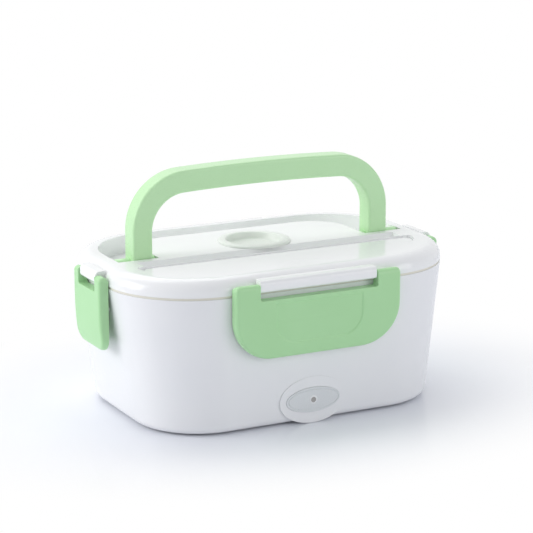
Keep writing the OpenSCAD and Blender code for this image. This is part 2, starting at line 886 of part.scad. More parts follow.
// A U-shaped outline with rounded lower corners, from a top level down
module u_outline(h, top, low, r) {
    polygon(concat(arc(h - r, r - low, r, -90, 0, 8), [[h, top], [-h, top]], arc(r - h, r - low, r, 180, 270, 8)));
}

// Front view of a latch: two ears over a panel whose lower corners are rounded
module latch_outline(width, ear, r) {
    h = width / 2;
    tip = 3;
    soft = 1.5;
    polygon(concat(arc(h - r, r - latch_drop, r, -90, 0, 8),
        arc(h - tip, ear_r - tip, tip, 0, 90, 3),
        [[h - ear + 1, ear_r], [h - ear, ear_r - 1], [h - ear, soft - panel_top], [h - ear - soft, -panel_top],
            [ear + soft - h, -panel_top], [ear - h, soft - panel_top], [ear - h, ear_r - 1], [ear - h - 1, ear_r]],
        arc(tip - h, ear_r - tip, tip, 90, 180, 3),
        arc(r - h, r - latch_drop, r, 180, 270, 8)));
}

// A latch in its own frame: hinge axis along X through the origin, outwards is -Y
module latch(width, ear, r, curl, dip) {
    half = width / 2;
    color(mint)
    union() {
        difference() {
            intersection() {
                front_view()
                    latch_outline(width, ear, r);
                // plan view, with the outer corners rounded
                translate([0, 0, -latch_drop - over])
                    linear_extrude(latch_drop + ear_r + 2 * over)
                        polygon(concat(arc(latch_edge - half, latch_edge - ear_r, latch_edge, 180, 270, 4),
                            arc(half - latch_edge, latch_edge - ear_r, latch_edge, 270, 360, 4),
                            [[half, -panel_back + over], [-half, -panel_back + over]]));
                union() {
                    extrude_x(half)
                        face_band(curl, 0);
                    rod_x(ear_r, -half, half, 0, 0);
                    extrude_x(half)
                        polygon([[ear_r, eps], [-ear_r, eps], [-ear_r, -4], [-panel_back, -4], [-panel_back, -1.5]]);
                }
            }
            intersection() {
                front_view()
                    u_outline(half - 2, -panel_top - 2, latch_drop - 2, r - 2);
                extrude_x(half)
                    face_band(curl, latch_wall);
            }
            if (dip > 0)
                intersection() {
                    front_view()
                        u_outline(half - ear - 10.5, -panel_top - 2.2, latch_drop - 9, 15);
                    extrude_x(half)
                        face_band(curl, -over, dip);
                }
        }
        // catch that hooks under the tub's rib
        extrude_x(half - 10)
            polygon([[1.5 - ear_r, -catch_z - catch_h], [1.5 - ear_r, -catch_z],
                [-catch_out, -catch_z], [-catch_out, -catch_z - catch_h / 2], [0, -catch_z - catch_h]]);
        both_ends()
            rod_x(latch_pin, half - ear - 5, half - ear + 1, 0, 0);
    }
}

module latch_front() {
    translate([0, -seam_dep / 2 - axis_out, axis_z])
        latch(latch_w, ear_w, low_r, 2, panel_dip);
}

module latch_back() {
    rotate([0, 0, 180])
        latch_front();
}

module latch_left() {
    rotate([0, 0, -90])
        translate([0, -seam_len / 2 - axis_out, axis_z])
            latch(side_w, side_ear_w, side_low_r, 3, 0);
}

module latch_right() {
    rotate([0, 0, 180])
        latch_left();
}

outer_shell();
inner_liner();
bottom_cover();
feet();
cover_screws();
heater_plate();
ptc_heater();
heater_clamp();
clamp_screws();
thermostat();
thermal_fuse();
wires();
inlet_socket();
inlet_pins();
indicator_plate();
indicator_lamp();
lamp_board();
food_tray();
side_container();
lid_shell();
inner_lid();
lid_seal();
vent_plug();
spoon();
spoon_cover();
handle();
latch_front();
latch_back();
latch_left();
latch_right();
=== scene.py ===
"""Electric lunch box: studio, finishes and the rebuilt curved mouldings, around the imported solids.

The frame is in metres. Sizes below are in millimetres, taken to metres by MM where a mesh is made.
"""

import json
import math

import bmesh
import bpy
from mathutils import Matrix, Vector


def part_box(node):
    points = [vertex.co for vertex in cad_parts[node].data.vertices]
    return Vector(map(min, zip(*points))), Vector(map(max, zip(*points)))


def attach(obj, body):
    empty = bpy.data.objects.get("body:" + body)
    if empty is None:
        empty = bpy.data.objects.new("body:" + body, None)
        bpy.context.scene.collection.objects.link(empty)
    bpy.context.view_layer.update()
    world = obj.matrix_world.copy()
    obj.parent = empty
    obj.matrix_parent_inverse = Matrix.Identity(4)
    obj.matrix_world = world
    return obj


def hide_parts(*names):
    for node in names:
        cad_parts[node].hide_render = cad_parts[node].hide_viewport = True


MM = 0.001

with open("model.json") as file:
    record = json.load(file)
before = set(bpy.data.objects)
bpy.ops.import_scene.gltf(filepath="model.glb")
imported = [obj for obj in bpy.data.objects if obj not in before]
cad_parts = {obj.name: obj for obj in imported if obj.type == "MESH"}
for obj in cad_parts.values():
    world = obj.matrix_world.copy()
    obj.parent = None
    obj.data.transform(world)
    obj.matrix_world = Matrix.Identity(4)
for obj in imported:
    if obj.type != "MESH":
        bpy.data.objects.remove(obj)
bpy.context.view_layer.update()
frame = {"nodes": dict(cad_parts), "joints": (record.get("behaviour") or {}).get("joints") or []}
nodes = frame["nodes"]
joint_places = {joint["name"]: joint.get("pos_m") for joint in frame["joints"]}


# ------------------------------------------------------------------ nodes, colours and places
def linear(hex_colour):
    """An sRGB hex colour as linear RGBA."""
    values = [int(hex_colour[i:i + 2], 16) / 255 for i in (1, 3, 5)]
    return [v / 12.92 if v <= 0.04045 else ((v + 0.055) / 1.055) ** 2.4 for v in values] + [1.0]


def add(tree, kind, links=None, **settings):
    """Adds a node. A setting is the node's own, or else the value of a socket; links join sockets."""
    node = tree.nodes.new(kind)
    for name, value in settings.items():
        label = name.replace("_", " ")
        if hasattr(node, name):
            setattr(node, name, value)
        elif label in node.inputs:
            node.inputs[label].default_value = value
    for name, source in (links or {}).items():
        tree.links.new(source, node.inputs[name])
    return node


def pivot(joint):
    """Where a hinge turns, in metres."""
    return Vector(joint_places[joint])


def place(thing, name):
    """Puts new data in the scene as an object."""
    holder = bpy.data.objects.new(name, thing)
    bpy.context.scene.collection.objects.link(holder)
    return holder


# ------------------------------------------------------------------ camera, light and floor
def place_camera():
    """The camera at the photograph's angle; its place and focal length were solved together."""
    azimuth, elevation, distance = math.radians(27.35), math.radians(14.0), 1.422
    aim = Vector((4.65, 0, 86.25)) * MM
    focal_px, photo_px, film = 2146.5, 533, 36
    away = Vector((-math.sin(azimuth) * math.cos(elevation),
                   -math.cos(azimuth) * math.cos(elevation),
                   math.sin(elevation)))
    camera = place(bpy.data.cameras.new("camera"), "camera")
    camera.location = aim + away * distance
    camera.rotation_euler = (-away).to_track_quat("-Z", "Y").to_euler()
    camera.data.sensor_width = film
    camera.data.lens = film * focal_px / photo_px
    camera.data.clip_start, camera.data.clip_end = 0.05, 50
    bpy.context.scene.camera = camera


def softbox(name, spot, size, power):
    """A white panel lamp turned to the middle of the box; metres and watts."""
    lamp = bpy.data.lights.new(name, "AREA")
    lamp.shape = "RECTANGLE"
    lamp.size, lamp.size_y = size
    lamp.energy = power
    holder = place(lamp, name)
    holder.location = spot
    box_middle = Vector((0, 0, 0.06))
    holder.rotation_euler = (box_middle - Vector(spot)).to_track_quat("-Z", "Y").to_euler()


def light_studio():
    """Three softboxes in a pale room that the camera, gloss and clear pieces see as plain white."""
    world = bpy.data.worlds.new("studio")
    world.use_nodes = True
    bpy.context.scene.world = world
    tree = world.node_tree
    tree.nodes.clear()
    path = add(tree, "ShaderNodeLightPath")
    seen = add(tree, "ShaderNodeMath",
               {0: path.outputs["Is Camera Ray"], 1: path.outputs["Is Glossy Ray"]}, operation="MAXIMUM")
    seen = add(tree, "ShaderNodeMath",
               {0: seen.outputs[0], 1: path.outputs["Is Transmission Ray"]}, operation="MAXIMUM")
    fill = add(tree, "ShaderNodeBackground", Color=linear("#F2F4FA"), Strength=0.5)
    white = add(tree, "ShaderNodeBackground", Color=linear("#FFFFFF"), Strength=1.0)
    both = add(tree, "ShaderNodeMixShader", {0: seen.outputs[0], 1: fill.outputs[0], 2: white.outputs[0]})
    add(tree, "ShaderNodeOutputWorld", {"Surface": both.outputs[0]})
    softbox("left_softbox", (-1.6, 0.45, 0.7), (1.1, 1.0), 14.5)
    softbox("top_softbox", (0.0, 0.75, 1.35), (1.4, 1.2), 9.5)
    softbox("front_softbox", (1.0, -1.35, 0.55), (1.0, 0.9), 6.0)


def lay_floor():
    """A sheet of pale glossy acrylic; away from the box it runs out into plain white."""
    gloss_until, white_from, squeeze = 0.085, 0.205, 0.75
    sheet = bmesh.new()
    bmesh.ops.create_grid(sheet, x_segments=1, y_segments=1, size=14)
    floor = as_object("floor", sheet)
    material = bpy.data.materials.new("pale_gloss_floor")
    material.use_nodes = True
    tree = material.node_tree
    tree.nodes.clear()
    point = add(tree, "ShaderNodeNewGeometry")
    oval = add(tree, "ShaderNodeVectorMath", {0: point.outputs["Position"]}, operation="MULTIPLY")
    oval.inputs[1].default_value = (squeeze, 1, 0)
    away = add(tree, "ShaderNodeVectorMath", {0: oval.outputs[0]}, operation="LENGTH")
    far = add(tree, "ShaderNodeMapRange", {"Value": away.outputs["Value"]},
              From_Min=gloss_until, From_Max=white_from, interpolation_type="SMOOTHSTEP")
    path = add(tree, "ShaderNodeLightPath")
    seen = add(tree, "ShaderNodeMath", {0: path.outputs["Is Camera Ray"], 1: far.outputs[0]},
               operation="MULTIPLY")
    gloss = add(tree, "ShaderNodeBsdfPrincipled", Base_Color=linear("#F7F9FF"), Roughness=0.14, IOR=1.38)
    white = add(tree, "ShaderNodeEmission", Color=linear("#FFFFFF"), Strength=1.0)
    both = add(tree, "ShaderNodeMixShader", {0: seen.outputs[0], 1: gloss.outputs[0], 2: white.outputs[0]})
    add(tree, "ShaderNodeOutputMaterial", {"Surface": both.outputs[0]})
    floor.data.materials.append(material)


# ------------------------------------------------------------------ how surfaces are smoothed
def smooth_group(limit):
    """A modifier tree that shades smooth, except along edges sharper than a limit in degrees."""
    name = f"smooth_below_{limit}"
    if name in bpy.data.node_groups:
        return bpy.data.node_groups[name]
    tree = bpy.data.node_groups.new(name, "GeometryNodeTree")
    tree.interface.new_socket("Geometry", in_out="INPUT", socket_type="NodeSocketGeometry")
    tree.interface.new_socket("Geometry", in_out="OUTPUT", socket_type="NodeSocketGeometry")
    start = add(tree, "NodeGroupInput")
    angle = add(tree, "GeometryNodeInputMeshEdgeAngle")
    sharp = add(tree, "FunctionNodeCompare", {0: angle.outputs["Unsigned Angle"]},
                data_type="FLOAT", operation="GREATER_THAN")
    sharp.inputs[1].default_value = math.radians(limit)
    faces = add(tree, "GeometryNodeSetShadeSmooth", {"Geometry": start.outputs[0]}, domain="FACE")
    edges = add(tree, "GeometryNodeSetShadeSmooth",
                {"Geometry": faces.outputs[0], "Selection": sharp.outputs[0]}, domain="EDGE")
    edges.inputs["Shade Smooth"].default_value = False
    add(tree, "NodeGroupOutput", {0: edges.outputs[0]})
    return tree


def smooth(piece, limit):
    """Smooth shading below a limit. Large flat faces stay flat, so that only rounded edges turn the light."""
    piece.modifiers.new("smooth", "NODES").node_group = smooth_group(limit)
    even = piece.modifiers.new("even_normals", "WEIGHTED_NORMAL")
    even.keep_sharp = True
    even.weight = 80


def ease_edges(node, width, soft):
    """Joins a solid's facets, breaks its sharp edges by a small width in mm and shades it smooth."""
    flat_within, sharp_from = 0.6, 38
    if "custom_normal" in node.data.attributes:
        node.data.attributes.remove(node.data.attributes["custom_normal"])
    node.modifiers.new("weld", "WELD").merge_threshold = 0.02 * MM
    flat = node.modifiers.new("join_facets", "DECIMATE")
    flat.decimate_type = "DISSOLVE"
    flat.angle_limit = math.radians(flat_within)
    if width:
        edge = node.modifiers.new("edges", "BEVEL")
        edge.width = width * MM
        edge.segments = 2
        edge.limit_method = "ANGLE"
        edge.angle_limit = math.radians(sharp_from)
        edge.miter_outer = "MITER_ARC"
        edge.use_clamp_overlap = True
        edge.harden_normals = False
    smooth(node, soft)


# ------------------------------------------------------------------ outlines and skins
def as_object(name, mesh):
    """Turns a bmesh into an object of the scene."""
    data = bpy.data.meshes.new(name)
    mesh.to_mesh(data)
    mesh.free()
    return place(data, name)


def as_moulding(name, mesh, put=None):
    """Turns a bmesh of a closed moulding into an object with soft shading, moved into its place."""
    sharp_from = 40
    bmesh.ops.recalc_face_normals(mesh, faces=mesh.faces)
    piece = as_object(name, mesh)
    if put:
        piece.data.transform(put)
    smooth(piece, sharp_from)
    return piece


def arc(x, y, r, a, b, n):
    """Points on an arc from angle a to angle b, in degrees."""
    turns = [math.radians(a + (b - a) * i / n) for i in range(n + 1)]
    return [(x + r * math.cos(t), y + r * math.sin(t)) for t in turns]


def rounded(half_x, half_y, r, n):
    """A rounded rectangle, counter-clockwise from its right side."""
    points = []
    for corner, (sx, sy) in enumerate([(1, 1), (-1, 1), (-1, -1), (1, -1)]):
        points += arc(sx * (half_x - r), sy * (half_y - r), r, 90 * corner, 90 * corner + 90, n)
    return points


def skin(mesh, rings, close=False, caps=True):
    """Faces through a row of rings with the same number of points."""
    rows = [[mesh.verts.new(Vector(p) * MM) for p in ring] for ring in rings]
    n = len(rows[0])
    for a, b in zip(rows, rows[1:] + ([rows[0]] if close else [])):
        for i in range(n):
            mesh.faces.new((a[i], a[(i + 1) % n], b[(i + 1) % n], b[i]))
    if caps and not close:
        mesh.faces.new(list(reversed(rows[0])))
        mesh.faces.new(rows[-1])
    return rows


def ring_edges(mesh, row):
    """The edges round a closed row of points, made where they are missing."""
    return [mesh.edges.get(pair) or mesh.edges.new(pair) for pair in zip(row, row[1:] + row[:1])]


def cut_rows(mesh, places, along):
    """Cuts the whole mesh at places in mm along an axis, so that it has points to bend there."""
    for at in places:
        bmesh.ops.bisect_plane(mesh, geom=mesh.verts[:] + mesh.edges[:] + mesh.faces[:], dist=1e-7,
                               plane_co=Vector(along) * at * MM, plane_no=along)


def rod_x(mesh, r, x0, x1, y, z, edge=0.4, n=40):
    """A turned pin along X with broken edges."""
    stops = [(x0, r - edge), (x0 + edge * 0.3, r - edge * 0.3), (x0 + edge, r),
             (x1 - edge, r), (x1 - edge * 0.3, r - edge * 0.3), (x1, r - edge)]
    turns = [2 * math.pi * i / n for i in range(n)]
    skin(mesh, [[(x, y + s * math.cos(t), z + s * math.sin(t)) for t in turns] for x, s in stops])


def turned(name, profile, x, y, n=96, ring=False, put=None):
    """A piece turned about an upright axis from (radius, height) in mm; a ring is open in the middle."""
    mesh = bmesh.new()
    turns = [2 * math.pi * i / n for i in range(n)]
    skin(mesh, [[(x + r * math.cos(t), y + r * math.sin(t), z) for t in turns] for r, z in profile],
         close=ring)
    return as_moulding(name, mesh, put)


# ------------------------------------------------------------------ wires
def tube(name, runs, radius, soft=3.0):
    """Round wires through rows of points, in mm, with their bends eased over a soft length."""
    curve = bpy.data.curves.new(name, "CURVE")
    curve.dimensions = "3D"
    curve.bevel_depth = radius * MM
    curve.bevel_resolution = 4
    curve.use_fill_caps = True
    for points in runs:
        row = [Vector(points[0])]
        for a, b, c in zip(points, points[1:], points[2:]):
            a, b, c = Vector(a), Vector(b), Vector(c)
            ease = min(soft, (a - b).length * 0.45, (c - b).length * 0.45)
            p, q = b + (a - b).normalized() * ease, b + (c - b).normalized() * ease
            row += [p * (1 - s) ** 2 + b * 2 * s * (1 - s) + q * s * s for s in (0, 0.25, 0.5, 0.75, 1)]
        row.append(Vector(points[-1]))
        spline = curve.splines.new("POLY")
        spline.points.add(len(row) - 1)
        for point, at in zip(spline.points, row):
            point.co = (*(at * MM), 1)
    return place(curve, name)


def make_wires():
    """The loom: blue runs by the thermostat, brown by the fuse, both to the heater and the lamp board."""
    pin_z, pin_y, pin_turn = 13.5, 55.0, 49
    heater_z, heater_end, heater_side = 17, 29.6, 36
    lamp_z, lamp_turn, lamp_end = 11.6, -54.3, -60.3
    blue = [
        [(50.3, pin_y, pin_z), (50.3, pin_turn, pin_z), (60, 34, 7), (43.5, 29, 7), (43.5, 22.6, 7)],
        [(36.5, 17.4, 7), (36.5, 11, 7), (heater_side, 9, heater_z), (heater_side, 3, heater_z),
         (heater_end, 3, heater_z)],
        [(-heater_end, -3, heater_z), (-heater_side, -3, heater_z), (-heater_side, -9, heater_z),
         (-heater_side, -24, 7), (-16, -48, 9), (-10, lamp_turn, lamp_z), (-10, lamp_end, lamp_z)]]
    brown = [
        [(41.7, pin_y, pin_z), (41.7, pin_turn, pin_z), (34, 40, 8), (-20, 41, 7), (-28, 28, 10),
         (-30, 19, 18.5)],
        [(-54, 19, 18.5), (-54, 9, heater_z), (-heater_side, 3, heater_z), (-heater_end, 3, heater_z)],
        [(heater_end, -3, heater_z), (heater_side, -3, heater_z), (heater_side, -9, heater_z),
         (heater_side, -24, 7), (16, -48, 9), (10, lamp_turn, lamp_z), (10, lamp_end, lamp_z)]]
    return tube("blue_wires", blue, 1.05), tube("brown_wires", brown, 1.05)


# ------------------------------------------------------------------ latches
# A latch is drawn round its pin: its drop to the lower edge, the ear's radius (also the face's distance),
# the depth to its open back, and the drop to the bottom of the notch between the ears.
LATCH_DROP, LATCH_EAR, LATCH_BACK, LATCH_NOTCH = 46.3, 3.1, 3.5, 7.4
LATCH_WALL, LATCH_RIM = 2.2, 2
SINK_LINES, SINK_WIDTH, SINK_DEPTH = (18.8, 22), 0.5, 0.1

LONG_LATCH = {"width": 118, "ear": 17, "r": 27, "curl": 2, "dip": 0.6}
SHORT_LATCH = {"width": 42, "ear": 8, "r": 9, "curl": 3, "dip": 0}


def latch_ring(half, ear, r, side, top, notch):
    """A latch's outline seen from the front; its side, ear tops and notch each have a (depth, inset)."""
    (side_y, side_in), (top_y, top_in), (notch_y, notch_in) = side, top, notch
    row = [(x, side_y, z) for x, z in arc(half - r, r - LATCH_DROP, r - side_in, -90, 0, 14)]
    tip = max(0.3, 3 - max(side_in, top_in))
    for i, (x, z) in enumerate(arc(half - side_in - tip, LATCH_EAR - top_in - tip, tip, 0, 90, 5)):
        row.append((x, side_y + (top_y - side_y) * i / 5, z))
    tip = max(0.15, 1 - max(notch_in, top_in))
    for i, (x, z) in enumerate(arc(half - ear + notch_in + tip, LATCH_EAR - top_in - tip, tip, 90, 180, 3)):
        row.append((x, top_y + (notch_y - top_y) * i / 3, z))
    row += [(x, notch_y, z) for x, z in arc(half - ear - 1.5, 1.5 - LATCH_NOTCH, 1.5 + notch_in, 0, -90, 4)]
    return row + [(-x, y, z) for x, y, z in reversed(row)]


def pocket(half, top, low, r, y, n=8):
    """A U-shaped outline at a depth y, with rounded lower corners."""
    row = [(x, y, z) for x, z in arc(half - r, low + r, r, -90, 0, n)] + [(half, y, top)]
    return row + [(-x, y, z) for x, y, z in reversed(row)]


def latch_sections():
    """The (depth, inset) of a latch's side, ear tops and notch, from its open back to its face."""
    side_soft, notch_soft = 2.2, 0.7
    turns = [math.radians(a) for a in range(0, 91, 15)]
    side = [(LATCH_BACK, 0.5), (3.35, 0.15), (3.0, 0), (1.5, 0), (0.2, 0)]
    side += [(side_soft * (1 - math.sin(a)) - LATCH_EAR, side_soft * (1 - math.cos(a))) for a in turns]
    ear_turns = [math.radians(a) for a in range(88, -89, -16)]
    top = [(LATCH_EAR * math.sin(a), LATCH_EAR * (1 - math.cos(a))) for a in ear_turns]
    notch = [(LATCH_BACK, 0.3), (3.4, 0.08), (3.2, 0), (1.5, 0), (-1, 0)]
    notch += [(notch_soft * (1 - math.sin(a)) - LATCH_EAR, notch_soft * (1 - math.cos(a))) for a in turns]
    return zip(side, top, notch)


def finger_field(mesh, half, dip):
    """The shallow field that a finger finds on a long latch; gives the edges round it."""
    below_notch, above_edge, corner = 2.2, 9, 15
    eased = ((0, 0), (0.25, 0.06), (0.6, dip * 0.5), (0.95, dip - 0.06), (1.2, dip))
    field = skin(mesh, [pocket(half - e, -LATCH_NOTCH - below_notch - e, above_edge + e - LATCH_DROP,
                               corner - e, y - LATCH_EAR, 12) for e, y in eased], caps=False)
    mesh.faces.new(field[-1])
    return ring_edges(mesh, field[0])


def latch_shell(mesh, half, ear, r, dip):
    """A latch's closed shell, still flat: its face, its rounded sides and the hollow behind."""
    rows = skin(mesh, [latch_ring(half, ear, r, *section) for section in latch_sections()], caps=False)
    face = ring_edges(mesh, rows[-1])
    if dip:
        face += finger_field(mesh, half - ear - 10.5, dip)
    bmesh.ops.triangle_fill(mesh, edges=face, use_beauty=True)
    floor = LATCH_WALL - LATCH_EAR
    hollow = skin(mesh, [pocket(half - LATCH_RIM - e, -LATCH_NOTCH - LATCH_RIM - e,
                                LATCH_RIM + e - LATCH_DROP, r - LATCH_RIM - e, y)
                         for e, y in ((0, LATCH_BACK), (0.1, floor + 0.5), (0.5, floor))], caps=False)
    mesh.faces.new(hollow[-1])
    bmesh.ops.triangle_fill(mesh, edges=ring_edges(mesh, rows[0]) + ring_edges(mesh, hollow[0]),
                            use_beauty=True)


def curl_latch(mesh, curl, dip):
    """Curls the lower end in, and on a long latch leaves the catch bar's two faint sink lines on the face."""
    drops = [3, 6, 9, 12, 15, 18, 18.8, 19.6, 21.3, 22, 22.7, 25, 28, 31, 33, 35, 37, 39, 40.5, 42, 43]
    cut_rows(mesh, [-drop for drop in drops], (0, 0, 1))
    for v in mesh.verts:
        on_face = v.co.y < -2.2 * MM
        x, y, z = v.co / MM
        lean = min(max((LATCH_BACK - y) / 4.4, 0), 1)
        y += curl * (max(-z, 0) / LATCH_DROP) ** 4 * lean
        if dip and lean == 1 and abs(x) < 50 and on_face:
            y += SINK_DEPTH * sum(math.exp(-((z + drop) / SINK_WIDTH) ** 2) for drop in SINK_LINES)
        v.co.y = y * MM


def make_latch(name, joint, turn, width, ear, r, curl, dip):
    """A hook latch: a curling panel with two round ears on stub pins, hollow behind, with a catch bar."""
    half, pin_r = width / 2, 1.5
    catch = [(-1.4, -24.4), (-1.4, -21.1), (-1.2, -21), (3.5, -21), (3.7, -21.2), (3.7, -22.7), (0, -24.4)]
    mesh = bmesh.new()
    latch_shell(mesh, half, ear, r, dip)
    curl_latch(mesh, curl, dip)
    skin(mesh, [[(x, y, z) for y, z in catch] for x in (10 - half, half - 10)])
    for s in (-1, 1):
        ends = sorted((s * (half - ear - 5), s * (half - ear + 1)))
        rod_x(mesh, pin_r, ends[0], ends[1], 0, 0, 0.25, 24)
    put = Matrix.Translation(pivot(joint)) @ Matrix.Rotation(math.radians(turn), 4, "Z")
    return as_moulding(name, mesh, put)


# ------------------------------------------------------------------ flap, plug, collar and handle
def make_spoon_cover():
    """The spoon bay's flap: a half-oval sheet with a soft top edge, a rolled hinge edge and a thumb scoop."""
    half_long, half_deep, oval_y, top, edge = 99.85, 42.85, -24.0, 101.8, 0.9
    hinge_y, hinge_z = pivot("spoon_cover_hinge").yz / MM
    straight, corner_x = 92, 99.5
    scoop_half, scoop_deep, scoop_run, scoop_lip, scoop_floor = 22, 1.3, 0.07, -66.85, 100.5

    def outline(inset):
        a, b = half_long - inset, half_deep - inset
        turns = [math.radians(t) for t in range(194, 347, 2)]
        row = [(a * math.cos(t), oval_y + b * math.sin(t)) for t in turns]
        x, y = row[-1]
        corner = [(x + (straight - x) * s * s + (corner_x - inset - x) * s * (1 - s),
                   y + (hinge_y - inset * 0.2 - y) * (1 - (1 - s) ** 2)) for s in (0.2, 0.4, 0.6, 0.8, 1)]
        return row + corner + [(-cx, cy) for cx, cy in reversed(corner)]

    stops = [(0.15, 100.0), (0, 100.3), (0, top - edge)]
    stops += [(edge * (1 - math.cos(math.radians(a))), top - edge * (1 - math.sin(math.radians(a))))
              for a in (25, 50, 70, 90)]
    mesh = bmesh.new()
    rows = skin(mesh, [[(x, y, z) for x, y in outline(inset)] for inset, z in stops], caps=False)
    mesh.faces.new(rows[-1])
    mesh.faces.new(list(reversed(rows[0])))
    cut_rows(mesh, range(-24, 25, 2), (1, 0, 0))
    cut_rows(mesh, range(-66, -46), (0, 1, 0))
    for v in mesh.verts:
        x, y, z = v.co / MM
        sink = scoop_deep * (1 - (x / scoop_half) ** 2) - scoop_run * (y - scoop_lip)
        if abs(x) < scoop_half and sink > 0 and z > 100.9:
            v.co.z = max(z - sink, scoop_floor) * MM
    rod_x(mesh, 2.18, -90, 90, hinge_y, hinge_z, 0.3)
    rod_x(mesh, 1.2, -101, 101, hinge_y, hinge_z, 0.2, 24)
    return as_moulding("spoon_cover_flap", mesh)


def make_vent_plug():
    """The steam vent's pull plug: a soft rim that laps the bore, a dished top and a stem in the vent hole."""
    turns = [math.radians(a) for a in (90, 75, 60, 45, 30, 15)]
    rim = [(20 + 4.5 * math.sin(a) ** 0.7, 104.3 - 1.6 * (1 - math.cos(a))) for a in turns]
    dish = [(19.6, 104.3), (19.1, 104.15), (18.7, 103.8), (18.4, 103.2), (18.1, 101.6), (17.8, 100.7),
            (17.2, 100.1), (16.3, 99.85), (13.2, 99.8), (12.9, 100.05), (12.5, 100.1), (12.1, 99.85),
            (4, 99.8), (0.4, 99.8)]
    below = [(0.4, 90.5), (5.2, 90.5), (5.5, 90.8), (5.6, 91.4), (5.6, 95.0), (19.7, 95.0), (20, 95.3),
             (20, 102.6), (23.8, 102.6), (24.3, 102.65)]
    return turned("steam_vent_plug", below + rim + dish, 0, 9)


def make_lamp_collar():
    """The low rounded collar round the lamp, seated on the oval plate."""
    lamp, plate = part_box("indicator_lamp"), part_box("indicator_plate")
    profile = [(1.75, -0.3), (1.75, 0.1), (1.8, 0.2), (1.95, 0.26), (2.4, 0.26), (2.7, 0.18),
               (2.85, 0.05), (2.9, -0.3)]
    middle = Vector(((lamp[0][0] + lamp[1][0]) / 2, plate[0][1], (lamp[0][2] + lamp[1][2]) / 2))
    put = Matrix.Translation(middle) @ Matrix.Rotation(math.radians(90), 4, "X")
    return turned("lamp_collar", profile, 0, 0, 64, True, put)


def make_handle():
    """The carrying handle: one moulding, a rounded bar bent to an arch on two round feet."""
    half, top, bend, bow = 93.5, 159.0, 38.0, 1.2
    leg, thick, edge = 13.8, 14.2, 1.8
    grip = leg + 1
    y, low = pivot("handle_fold").yz / MM

    def arch(h, peak, radius):
        flat, knee = h - radius, peak - bow - radius
        row = [(h, low + (knee - low) * i / 6) for i in range(6)]
        row += arc(flat, knee, radius, 0, 90, 30)
        row += [(flat * i / 12, peak - bow * (i / 12) ** 2) for i in range(11, -12, -1)]
        row += arc(-flat, knee, radius, 90, 180, 30)
        return row + [(-h, low + (knee - low) * i / 6) for i in range(5, -1, -1)]

    def section(outer, inner, deep, ease):
        across = Vector(outer) - Vector(inner)
        middle, along = (Vector(outer) + Vector(inner)) / 2, across.normalized()
        return [(middle[0] + along[0] * p, y + q, middle[1] + along[1] * p)
                for p, q in rounded(across.length / 2, deep, ease, 6)]

    def foot(side):
        rings = []
        for turn in (math.radians(a) for a in range(84, 0, -7)):
            z, deep = low - thick / 2 * math.sin(turn), thick / 2 * math.cos(turn)
            rings.append(section((side * half, z), (side * (half - leg), z), deep, min(edge, deep * 0.8)))
        return rings

    outer, inner = arch(half, top, bend), arch(half - leg, top - grip, bend - leg)
    mesh = bmesh.new()
    skin(mesh, foot(1) + [section(a, b, thick / 2, edge) for a, b in zip(outer, inner)] + foot(-1)[::-1])
    for s in (-1, 1):
        for radius, x0, x1 in ((4.2, 76.3, 103.9), (2.5, 73.0, 108.0)):
            rod_x(mesh, radius, min(s * x0, s * x1), max(s * x0, s * x1), y, low)
    return as_moulding("carrying_handle", mesh)


# ------------------------------------------------------------------ finishes
def finish(name, colour, shade, rough, grain, bump, metallic=0.0, edge=None, **shader):
    """One finish: a colour that drifts to a second shade over about 30 mm, a moulding or machining grain of
    a given size in mm in the bump and the gloss, and a painted highlight: a paler tone along convex edges."""
    drift_size, grain_depth = 30, 0.05
    material = bpy.data.materials.new(name)
    material.use_nodes = True
    tree = material.node_tree
    tree.nodes.clear()
    where = add(tree, "ShaderNodeTexCoord")
    drift = add(tree, "ShaderNodeTexNoise", {"Vector": where.outputs["Object"]},
                Scale=1 / (drift_size * MM), Detail=3.0)
    fine = add(tree, "ShaderNodeTexNoise", {"Vector": where.outputs["Object"]},
               Scale=1 / (grain * MM), Detail=4.0, Roughness=0.6)
    base = add(tree, "ShaderNodeMix", {"Factor": drift.outputs[0]}, data_type="RGBA")
    base.inputs[6].default_value = linear(colour)
    base.inputs[7].default_value = linear(shade)
    tone = base.outputs[2]
    # Painted highlight: where an edge is convex, found by pointiness, the tone turns to the paler edge
    # colour.
    if edge:
        point = add(tree, "ShaderNodeNewGeometry")
        rim = add(tree, "ShaderNodeMapRange", {"Value": point.outputs["Pointiness"]},
                  From_Min=0.53, From_Max=0.62)
        painted_edge_highlight = add(tree, "ShaderNodeMix", {"Factor": rim.outputs[0], 6: tone}, data_type="RGBA")
        painted_edge_highlight.inputs[7].default_value = linear(edge)
        tone = painted_edge_highlight.outputs[2]
    gloss = add(tree, "ShaderNodeMapRange", {"Value": fine.outputs[0]},
                From_Min=0.3, From_Max=0.7, To_Min=rough * 0.85, To_Max=rough * 1.15)
    relief = add(tree, "ShaderNodeBump", {"Height": fine.outputs[0]},
                 Strength=bump, Distance=grain_depth * MM)
    surface = add(tree, "ShaderNodeBsdfPrincipled",
                  {"Base Color": tone, "Roughness": gloss.outputs[0], "Normal": relief.outputs[0]},
                  Metallic=metallic)
    for key, value in shader.items():
        surface.inputs[key].default_value = value
    add(tree, "ShaderNodeOutputMaterial", {"Surface": surface.outputs[0]})
    return material


